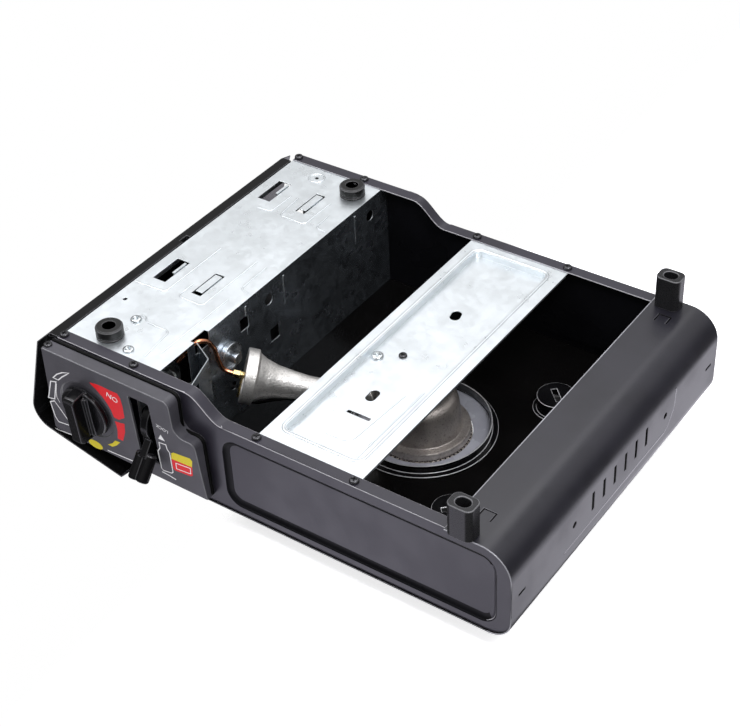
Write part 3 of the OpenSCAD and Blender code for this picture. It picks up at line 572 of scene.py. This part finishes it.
def metal(name, colour, rough, grain, depth, metallic=1.0, dull=0.8):
    """Bare or thinly plated metal: dull patches, and a grain that roughens it."""
    look = Finish(name)
    patches = look.cloud(0.014, 4.0).fade(0.3, 0.7)
    grains = look.cloud(grain, 4.0, 0.6)
    return look.surface(
        Base_Color=look.blend(patches, tuple(c * dull for c in colour), colour),
        Metallic=metallic,
        Roughness=grains.fade(0.3, 0.7, rough - 0.07, rough + 0.07),
        Normal=look.bumps(grains, depth),
    )


# The tree sets one screw on every point, each turned to an angle of its own.
driver = Tree("set_screws", Screw="Object", Seed=7, Material="Material")
one = driver.node("GeometryNodeObjectInfo", sockets={"Object": driver.given["Screw"]}, output="Geometry")
any_turn = {"Min": (0, 0, 0), "Max": (0, 0, 6.28), "Seed": driver.given["Seed"]}
turn = driver.node("FunctionNodeRandomValue", {"data_type": "FLOAT_VECTOR"}, any_turn)
spots = driver.node("GeometryNodeMeshToPoints", sockets={"Mesh": driver.given["Geometry"], "Radius": 0.001})
placed = {"Points": spots, "Instance": one, "Rotation": turn}
driver.end(driver.node("GeometryNodeInstanceOnPoints", sockets=placed))


def set_screws(name, node, finish, spots, sizes, seed):
    """Puts screws of a head radius, height, shank radius and length in a CAD node's place."""
    radius, height, shank, length = (s * MM for s in sizes)
    pattern = cross_head(name + "_pattern", radius, height, 0.62, shank, length)
    made = driver.make(name, [Vector(s) * MM for s in spots], Screw=pattern, Seed=seed, Material=finish)
    bpy.data.objects.remove(pattern)
    return fit(made, node)


screw_black = metal("screw_black", (0.075, 0.075, 0.08), 0.18, 0.0006, 0.000006, 0.75)
rim_row = [(161.5, 8), (100, 8), (0, 24.8), (-75.5, 24.8)]
rim_spots = [(x, y, z) for y in (-119.14, 144.66) for x, z in rim_row]
set_screws("rim_screw_set", "rim_screws", screw_black, rim_spots, (3.3, 2.0, 1.5, 4.9), 3)


# ---------------------------------------------------------------- tall feet
# Moulded black plastic posts under the burner end, oval, clipped through the
# lip, with a deep hole up the middle to save material.
def moulded(name, colour, rough, grain, depth, shine=0.5):
    """Moulded plastic, rubber or glaze, with the fine grain of its mould."""
    look = Finish(name)
    patches = look.cloud(0.03, 3.0).fade(0.3, 0.7)
    grains = look.cloud(grain, 2.0)
    return look.surface(
        Base_Color=look.blend(patches, colour, tuple(c * 1.4 for c in colour)),
        Roughness=grains.fade(0.3, 0.7, rough - 0.05, rough + 0.05),
        Specular_IOR_Level=shine,
        Normal=look.bumps(grains, depth),
    )


foot_plastic = moulded("foot_plastic", (0.012, 0.012, 0.013), 0.3, 0.0005, 0.00001, 0.25)
foot_rim = moulded("foot_rim", (0.1, 0.1, 0.105), 0.25, 0.0005, 0.00001)
# Their rounded edges take a lighter colour, painted as highlight.
for node in ("tall_foot_front", "tall_foot_back"):
    fit(ease(piece("moulded_" + node, merged(node)), 0.0006, 3), node, foot_plastic, foot_rim)


# ---------------------------------------------------------------- bay floor
# Hot-dip galvanised sheet, bent up once into the wall between cartridge bay
# and burner, slotted for the hooks and stiffened with pressed lines.
def galvanised(name, colour, rough):
    """Dipped zinc: crystals called spangle, cloudy patches and streaks from rolling."""
    look = Finish(name)
    crystals = look.node("ShaderNodeTexVoronoi", sockets={"Vector": look.place(), "Scale": 240.0})
    spangle = look.node("ShaderNodeRGBToBW", sockets={"Color": crystals.also("Color")})
    clouds = look.cloud(0.03, 5.0, 0.6).fade(0.3, 0.7)
    streaks = look.cloud(0.01, 5.0, 0.6, (1, 0.1, 1)).fade(0.45, 0.8)
    shade = spangle * 0.35 + clouds * 0.4 + streaks * 0.25
    waves = look.cloud(0.05, 2.0) * 0.00012 + look.cloud(0.004, 3.0) * 0.00002
    return look.surface(
        Base_Color=look.blend(shade, tuple(c * 0.85 for c in colour), colour),
        Metallic=0.88 + spangle * 0.1,
        Roughness=rough + spangle * 0.12 + clouds * 0.08,
        Normal=look.bumps(waves, 1.0),
    )


zinc_sheet = galvanised("zinc_sheet", (0.84, 0.885, 0.91), 0.24)
zinc_shaded = galvanised("zinc_shaded", (0.36, 0.4, 0.44), 0.13)
bay = ease(piece("bay_floor", merged("cartridge_floor")), 0.00018)
fit(bay, "cartridge_floor", zinc_sheet, zinc_sheet, zinc_shaded)
# The face of the wall turned towards the burner takes the darker zinc, a painted reflection of the black
# inside of the case.
for face in bay.data.polygons:
    if face.normal.x < -0.7 and 80 < face.center.x / MM < 84:
        face.material_index = 2

# Stiffening lines on the underside, and the rivet inside the round one.
under = 8.78
round_line = [math.radians(a) for a in range(0, 361, 30)]
floor_lines = [
    [(162, -46), (136.5, -44.3), (136.5, 17)],
    [(125.5, -27), (125.8, -43.5), (104, -44), (104, 17.4)],
    [(133.7, -73.7), (128.5, -74.3), (124.4, -78), (104.3, -78.2), (100.8, -107.5)],
    [(93.7, -100), (93.2, -28.7)],
    [(85.8, -15.8), (93.3, -14.4), (94.1, 15)],
    [(146.5, 73.2), (135, 74.4), (134.5, 98)],
    [(128.5, 99), (126.5, 73.9), (103.7, 73), (103.4, 105)],
    [(83.8, 73), (94.1, 74.4), (94.9, 92)],
    [(132.9 + 6 * math.cos(a), 128.8 + 6 * math.sin(a)) for a in round_line],
]
floor_runs = [[(x, y, under) for x, y in run] for run in floor_lines]
press("bay_floor_lines", "cartridge_floor", zinc_sheet, floor_runs, 1.5, 0.9, 3.5)
rivet_run = [(131.9, 128.8, 8.85), (133.9, 128.8, 8.85)]
press("bay_floor_rivet", "cartridge_floor", shell_wet, [rivet_run], 2.4, 0.5, 0.5, 12)

# ---------------------------------------------------------------- ring feet
# Soft black rubber rings under the cartridge bay, each buttoned through a hole.
rubber = moulded("rubber", (0.006, 0.006, 0.006), 0.34, 0.0007, 0.00002, 0.3)
rubber_rim = moulded("rubber_rim", (0.04, 0.04, 0.042), 0.3, 0.0007, 0.00002)
# Their rounded edges take a lighter colour, painted as highlight.
for node in ("ring_foot_front", "ring_foot_back"):
    fit(ease(piece("rubber_" + node, merged(node)), 0.0004, 3), node, rubber, rubber_rim)

# ---------------------------------------------------------------- floor screws
# Bright zinc-plated screws that hold the valve plate to the bay floor.
screw_bright = metal("screw_bright", (0.78, 0.82, 0.84), 0.22, 0.0006, 0.000008, 1.0, 0.7)
floor_spots = [(132.1, -79.94, 8.8), (114.3, -108.14, 8.8)]
set_screws("floor_screw_set", "floor_screws", screw_bright, floor_spots, (4.0, 1.7, 1.65, 3.9), 5)

# ---------------------------------------------------------------- brackets
# Folded galvanised plates behind the front: the wall beside the lever, the
# plate that carries the valve, the shield over it and the sliding carriage.
for node in ("valve_bracket", "regulator_cover", "carriage"):
    fit(ease(piece("plate_" + node, merged(node)), 0.00018), node, zinc_sheet)
# The wall beside the lever takes the darker zinc, a painted reflection of the black case round it; its
# rounded edges keep the bright zinc, as painted highlight.
lever_wall = ease(piece("plate_mech_bracket", merged("mech_bracket")), 0.0003)
fit(lever_wall, "mech_bracket", zinc_shaded, zinc_sheet)

# ---------------------------------------------------------------- gas valve and trip boss
# Zinc die-castings, tumbled dull: the valve with its diaphragm housing, and
# the boss of the pressure trip riveted to the wall of the bay.
die_cast = metal("die_cast", (0.6, 0.63, 0.66), 0.3, 0.0012, 0.00004)
fit(ease(piece("gas_valve", merged("regulator")), 0.0007, 3), "regulator", die_cast)
fit(ease(piece("trip_boss_cup", merged("trip_boss")), 0.0005, 3), "trip_boss", die_cast)

# ---------------------------------------------------------------- igniter and lead
# A white moulded piezo striker, and the sleeved wire that runs from it along
# the mixing tube to the electrode beside the burner.
igniter_plastic = moulded("igniter_plastic", (0.62, 0.61, 0.56), 0.35, 0.0009, 0.00001)
sleeve = moulded("sleeve", (0.006, 0.006, 0.006), 0.5, 0.0006, 0.00002, 0.2)
glazed = moulded("glazed_ceramic", (0.74, 0.73, 0.68), 0.14, 0.003, 0.00001)
fit(ease(piece("piezo_igniter", merged("igniter")), 0.0006, 3), "igniter", igniter_plastic)
lead_run = [
    (-16.2, 48.7, 78.7), (-15.2, 44.7, 71), (1.8, 18.7, 71.5), (-1.2, -10.5, 79), (12.4, -19.4, 74.4),
    (28.2, -29.8, 69.8), (42.1, -38.8, 67.6), (52.1, -45.3, 69.3), (58, -49.2, 71), (66, -54.3, 68.8),
    (79, -44, 69), (85, -48, 69), (90.5, -55.7, 66), (90.5, -61.4, 66),
]
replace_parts(press("sleeved_lead", "ignition_lead", sleeve, [lead_run], 2.4, 2.4, 4, 12), "ignition_lead")
fit(ease(piece("spark_electrode", merged("electrode")), 0.0003), "electrode", glazed)

# ---------------------------------------------------------------- control panel
# Moulded black plastic with a fine spark-eroded grain, screwed to the front;
# its dial marks are printed on in white, red and yellow.
panel_plastic = moulded("panel_plastic", (0.046, 0.0445, 0.053), 0.42, 0.0004, 0.00002)
panel_rim = moulded("panel_rim", (0.14, 0.14, 0.15), 0.2, 0.0004, 0.00001, 0.7)
panel_dark = moulded("panel_dark", (0.002, 0.002, 0.002), 0.5, 0.0004, 0.00002, 0.1)
# Its rounded edges take a lighter colour, painted as highlight.
moulding = ease(piece("front_moulding", merged("control_panel")), 0.0005, 2)
fit(moulding, "control_panel", panel_plastic, panel_rim, panel_dark)
# Faces in the groove along its back edge take the near-black, as painted shade.
for face in moulding.data.polygons:
    if -126.6 < face.center.y / MM < -124.7 and face.center.z / MM < 11.3:
        face.material_index = 2

# A near-black bead along the joint between the moulding and the front panel is painted shade: the dark of
# the gap there.
joint_line = [(166, 9.4), (57, 9.4), (57, 38.5), (40, 38.5), (39.2, 60), (38.1, 86)]
joint_run = [(x, -125.9, z) for x, z in joint_line]
press("moulding_joint", "control_panel", panel_dark, [joint_run], 2.6, 2.6, 5, 10)

# The printed face passes through FACE_Y at the height FACE_Z, in millimetres,
# and falls back by FACE_LEAN for each millimetre above it.
FACE_Y, FACE_Z, FACE_LEAN = -136.67, 9.5, 0.06453


def print_patch(name, finish, shapes, lift=0.03, thick=0.04):
    """Prints filled shapes on the face; each is an outline and its holes, in mm across and up."""
    work = bmesh.new()
    for loops in shapes:
        fresh = bmesh.new()
        edges = []
        for loop in loops:
            corners = [fresh.verts.new((x, 0, z)) for x, z in loop]
            edges += [fresh.edges.new((a, b)) for a, b in zip(corners, corners[1:] + corners[:1])]
        bmesh.ops.triangle_fill(fresh, edges=edges, use_beauty=True)
        mesh = bpy.data.meshes.new(name)
        fresh.to_mesh(mesh)
        fresh.free()
        work.from_mesh(mesh)
        bpy.data.meshes.remove(mesh)
    sheet = work.faces[:]
    bmesh.ops.recalc_face_normals(work, faces=sheet)
    grown = bmesh.ops.extrude_face_region(work, geom=sheet)
    for corner in work.verts:
        corner.co.y = -lift
    for corner in [v for v in grown["geom"] if isinstance(v, bmesh.types.BMVert)]:
        corner.co.y = -lift - thick
    for corner in work.verts:
        corner.co.y += FACE_Y + (corner.co.z - FACE_Z) * FACE_LEAN
        corner.co *= MM
    bmesh.ops.recalc_face_normals(work, faces=work.faces)
    return fit(piece(name, work, 20), "control_panel", finish, stands_for=False)


def outline(points, width, closed=True):
    """The two edges of a printed line of this width along the points."""
    inner, outer = [], []
    count = len(points)
    for i, point in enumerate(points):
        before = points[i - 1] if closed or i else None
        after = points[(i + 1) % count] if closed or i < count - 1 else None
        here = Vector(point)
        sides = []
        if before is not None:
            sides.append((here - Vector(before)).normalized())
        if after is not None:
            sides.append((Vector(after) - here).normalized())
        along = sum(sides, Vector((0, 0))).normalized()
        reach = width / 2 / max(0.45, along.dot(sides[0]))
        across = Vector((-along.y, along.x)) * reach
        inner.append(tuple(here + across))
        outer.append(tuple(here - across))
    return [outer, inner] if closed else [outer + inner[::-1]]


def ink(name, colour):
    """Screen-printed ink, slightly uneven."""
    look = Finish(name)
    screen = look.cloud(0.0006, 3.0).fade(0.35, 0.65)
    return look.surface(
        Base_Color=look.blend(screen, tuple(c * 0.88 for c in colour), colour),
        Roughness=screen.fade(0.0, 1.0, 0.32, 0.46),
        Specular_IOR_Level=0.2,
        Normal=look.bumps(screen, 0.000006),
    )


white_ink = ink("white_ink", (0.93, 0.93, 0.93))
red_ink = ink("red_ink", (0.84, 0.015, 0.022))
yellow_ink = ink("yellow_ink", (0.8, 0.66, 0.02))
crescent = [(162.6, 34.2), (157.9, 29.2), (151.9, 25.0), (145.0, 22.4)]
crescent += [(149.0, 26.0), (153.4, 29.7), (157.9, 34.4)]
tall_box = [(166.3, 39.2), (160.9, 37.4), (167.1, 56.0), (173.2, 57.4)]
fin = [(172.6, 61.0), (168.0, 58.2), (163.4, 65.0), (156.2, 76.8), (169.6, 78.6), (171.6, 74.6)]
ring_line = [(160.8, 39.0), (163.2, 46.6), (164.3, 53.0), (162.6, 57.4)]
gas_can = [(75.2, 60.3), (75.4, 76.6), (73.6, 78.0), (66.6, 76.8), (65.2, 75.2)]
gas_can += [(64.4, 56.8), (66.0, 54.6), (66.4, 50.4), (72.4, 51.2), (72.6, 56.4)]
lever_arrow = [(69.3, 42.6), (72.2, 47.6), (66.4, 47.2)]
long_lines = [[(178.2, 88.4), (156.8, 86.0)], [(125.5, 84.7), (102.1, 83.4)]]
long_lines += [[(75.8, 80.0), (69.4, 80.6), (63.8, 81.6)]]
white_shapes = [outline(shape, 0.85) for shape in (crescent, tall_box, fin)]
white_shapes += [outline(ring_line, 0.5, False), outline(gas_can, 0.75)]
white_shapes += [outline(line, 0.9, False) for line in long_lines] + [[lever_arrow]]
print_patch("printed_white", white_ink, white_shapes)
red_band = [(126.4, 22.4), (120.4, 21.2), (114.1, 21.0), (108.0, 21.4), (102.0, 21.2)]
red_band += [(100.2, 24.6), (99.8, 32.3), (100.5, 42.4), (106.6, 46.9), (110.7, 46.6)]
red_band += [(111.7, 41.1), (114.1, 35.8), (116.7, 31.7), (121.7, 26.6), (125.7, 23.6)]
red_tail = [(110.8, 50.2), (106.4, 49.6), (101.9, 48.4), (103.3, 57.0)]
red_tail += [(107.4, 67.0), (112.1, 66.9), (110.4, 58.8), (110.2, 54.5)]
red_patch = [(63.9, 62.1), (46.1, 61.1), (47.0, 69.2), (49.0, 70.8), (62.6, 72.3), (64.2, 70.9)]
print_patch("printed_red", red_ink, [[red_band], [red_tail], [red_patch]])
dial_arrow = [(123.9, 78.3), (118.7, 74.6), (115.3, 70.4), (110.8, 70.1), (115.0, 74.9), (119.6, 78.4)]
round_mark = [2 * math.pi * i / 24 for i in range(24)]
oval_mark = [(136.5 + 6.5 * math.cos(a), 84.4 + 3.7 * math.sin(a)) for a in round_mark]
yellow_patch = [(62.9, 56.4), (60.9, 54.8), (46.5, 53.2), (44.9, 55.0), (46.1, 61.0), (63.9, 62.0)]
print_patch("printed_yellow", yellow_ink, [[dial_arrow], [oval_mark], [yellow_patch]])
patch_frame = [(60.6, 64.4), (48.0, 63.0), (48.6, 68.4), (61.0, 69.8)]
print_patch("printed_frame", white_ink, [outline(patch_frame, 0.6)], lift=0.07)


def letter(name, words, size, across, up, turn, finish):
    """Prints a word on the face, centred and turned by an angle in degrees."""
    text = bpy.data.curves.new(name, "FONT")
    text.body = words
    text.size = size * MM
    text.align_x = "CENTER"
    text.align_y = "CENTER"
    text.extrude = 0.00002
    text.resolution_u = 3
    holder = bpy.data.objects.new(name, text)
    scene.collection.objects.link(holder)
    result = holder.evaluated_get(bpy.context.evaluated_depsgraph_get())
    mesh = bpy.data.meshes.new_from_object(result)
    bpy.data.objects.remove(holder)
    mesh.transform(Matrix.Rotation(math.radians(turn), 4, "Z"))
    mesh.transform(Matrix.Rotation(math.pi / 2 - math.atan(FACE_LEAN), 4, "X"))
    deep = FACE_Y + (up - FACE_Z) * FACE_LEAN - 0.1
    mesh.transform(Matrix.Translation(Vector((across, deep, up)) * MM))
    made = bpy.data.objects.new(name, mesh)
    scene.collection.objects.link(made)
    return fit(made, "control_panel", finish, stands_for=False)


letter("word_on", "ON", 6.4, 107.9, 27.4, -17, white_ink)
letter("word_lock", "LOCK", 3.9, 66.6, 35.8, -12, white_ink)
set_screws("panel_screw_set", "panel_screw", screw_black, [(165, -131.74, 9.5)], (3.0, 1.5, 1.4, 7.9), 2)

# ---------------------------------------------------------------- knob and stem
# Moulded glossy black knob with a tall grip bar on its skirt, pushed on the
# flatted brass stem of the valve.
knob_plastic = moulded("knob_plastic", (0.003, 0.003, 0.0035), 0.2, 0.0005, 0.000006, 0.14)
knob_edge = moulded("knob_edge", (0.018, 0.018, 0.02), 0.16, 0.0005, 0.000006, 0.5)
brass = metal("brass", (0.78, 0.6, 0.28), 0.25, 0.0008, 0.00001)
# The rounded edges of knob and lever take a lighter colour, painted as highlight.
fit(ease(piece("gas_knob", merged("knob")), 0.0008, 4), "knob", knob_plastic, knob_edge)
fit(ease(piece("knob_stem", merged("valve_stem")), 0.0002), "valve_stem", brass)

# ---------------------------------------------------------------- lock lever
# Moulded black lever with a two-lobed thumb piece, turning on a steel pin.
# Its rounded edges take the knob's lighter colour, painted as highlight.
lever = ease(piece("cartridge_lever", merged("lock_lever")), 0.0007, 4)
fit(lever, "lock_lever", knob_plastic, knob_edge)
pin_steel = metal("pin_steel", (0.75, 0.77, 0.8), 0.2, 0.0009, 0.00001)
fit(ease(piece("lever_axle", merged("lever_pin")), 0.0003), "lever_pin", pin_steel)

# ---------------------------------------------------------------- lid
# Rolled sheet steel lid over the cartridge bay, enamelled black, with a folded
# rail along its edge, swinging on a long steel rod.
lid_gloss = enamel("lid_gloss", (0.008, 0.008, 0.0085), 0.2, 0.5, 0.00001)
lid_deep = enamel("lid_deep", (0.004, 0.004, 0.0042), 0.2, 0.12, 0.00001)
lid_edge = enamel("lid_edge", (0.05, 0.05, 0.055), 0.2, 0.6, 0.00001)
# Its rounded edges take a lighter colour, painted as highlight.
lid = ease(piece("bay_lid_cover", merged("lid")), 0.00025)
fit(lid, "lid", lid_gloss, lid_edge, lid_deep)
# Faces turned downwards take the darker, duller black, as painted shade.
for face in lid.data.polygons:
    if face.normal.z < -0.5 and face.material_index == 0:
        face.material_index = 2
fit(ease(piece("lid_rod", merged("hinge_rod")), 0.0003), "hinge_rod", pin_steel)

# ---------------------------------------------------------------- burner bracket
# A galvanised strap across the case with a long shallow dish pressed in it; the
# burner stands on it, held by a big bright screw and a small black one whose
# black is painted shade, the dark of a hole.
fit(ease(piece("burner_strap", merged("burner_bracket")), 0.00022), "burner_bracket", zinc_sheet)
dish_rim = [(-37, -103.4), (-5.8, -103.4), (-5.8, 133.5), (-68.7, 133.5), (-68.7, -103.4), (-37, -103.4)]
rim_run = [(x, y, 25.55) for x, y in dish_rim]
press("strap_dish_edge", "burner_bracket", zinc_sheet, [rim_run], 2.2, 1.0, 7)
dish_lines = [[(-26.5, -86.4), (-48.3, -85.6), (-52.5, -29.3)], [(-60.5, -98), (-61.5, -20)]]
dish_runs = [[(x, y, 30.5) for x, y in line] for line in dish_lines]
press("strap_dish_lines", "burner_bracket", zinc_sheet, dish_runs, 1.4, 0.8, 6)
big_spot, small_spot = (-13.4, -4.44, 30.6), (-27.8, 5.16, 30.6)
set_screws("strap_screw_big", "bracket_screws", screw_bright, [big_spot], (4.5, 2.0, 2.0, 8.9), 4)
# The small screw is black as painted shade: it stands for a dark hole.
set_screws("strap_screw_small", "bracket_screws", screw_black, [small_spot], (3.0, 1.6, 1.5, 7.9), 9)

# ---------------------------------------------------------------- mixing tube
# Sand-cast aluminium horn that draws in air round the jet, as cast, with a
# machined mouth.
def cast(name, colour, rough, metallic, pit):
    """Sand-cast metal: a sandy skin with dark pores and stains."""
    look = Finish(name)
    sand = look.cloud(0.0014, 3.0, 0.6)
    stains = look.cloud(0.012, 4.0).fade(0.3, 0.7)
    pores = sand.fade(0.52, 0.7)
    shade = stains * 0.45 + pores * 0.55
    return look.surface(
        Base_Color=look.blend(shade, colour, tuple(c * 0.42 for c in colour)),
        Metallic=metallic,
        Roughness=rough + pores * 0.2,
        Normal=look.bumps(1 - sand, pit),
    )


cast_light = cast("cast_light", (0.78, 0.76, 0.73), 0.36, 0.8, 0.00035)
fit(ease(piece("mixing_horn", merged("mixing_tube")), 0.0007, 3), "mixing_tube", cast_light)

# ---------------------------------------------------------------- burner
# Cast burner bowl, darkened by heat, with a milled cap that leaves a ring of
# sixty narrow flame ports. The cap's near-black is partly soot and partly
# painted shade, and its ports' edges are lighter, as painted highlight.
cast_dark = cast("cast_dark", (0.46, 0.42, 0.39), 0.3, 0.6, 0.0003)
soot_and_shade = cast("sooty_cast", (0.07, 0.062, 0.058), 0.5, 0.3, 0.0002)
fit(ease(piece("burner_bowl", merged("burner_body")), 0.0007, 3), "burner_body", cast_dark)
port_edge = cast("port_edge", (0.5, 0.45, 0.4), 0.35, 0.6, 0.0002)
fit(ease(piece("burner_port_cap", merged("burner_cap")), 0.0004), "burner_cap", soot_and_shade, port_edge)

# ---------------------------------------------------------------- gas tube and jet
# Bent copper capillary from the valve, brazed into the hexagon of a brass jet.
copper = metal("copper", (0.83, 0.36, 0.2), 0.2, 0.0015, 0.00001, 1.0, 0.72)
tube_run = [
    (94, -84.7, 26), (88, -77.7, 15), (84, -72.7, 12), (81, -66.7, 15),
    (79, -63.2, 23), (78.4, -61.7, 33), (76.5, -60.4, 42), (70.5, -57.3, 44.4),
]
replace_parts(press("copper_tube", "gas_tube", copper, [tube_run], 3.2, 3.2, 7, 20), "gas_tube")
fit(ease(piece("brass_jet", merged("gas_jet")), 0.0002), "gas_jet", brass)

# ---------------------------------------------------------------- drip tray
# Shallow spun ring of grey enamelled steel that lies round the burner, its
# hole trimmed to clear the bowl.
tray_grey = enamel("tray_grey", (0.3, 0.305, 0.34), 0.28, 0.6, 0.00001)
work = merged("drip_tray")
axis = Vector((-37, 12.76)) * MM
hole_reach, hole_radius = 0.0365, 0.0354
for corner in work.verts:
    out = corner.co.xy - axis
    if out.length < hole_reach:
        corner.co.xy = axis + out.normalized() * hole_radius
fit(ease(piece("spun_tray", work), 0.0002), "drip_tray", tray_grey)

# ---------------------------------------------------------------- pan support
# Four pressed arms welded to a flat ring, dipped in matt black enamel.
support_matt = enamel("support_matt", (0.007, 0.007, 0.007), 0.45, 0.5, 0.00003)
fit(ease(piece("pan_support_arms", merged("pan_support")), 0.0004), "pan_support", support_matt)
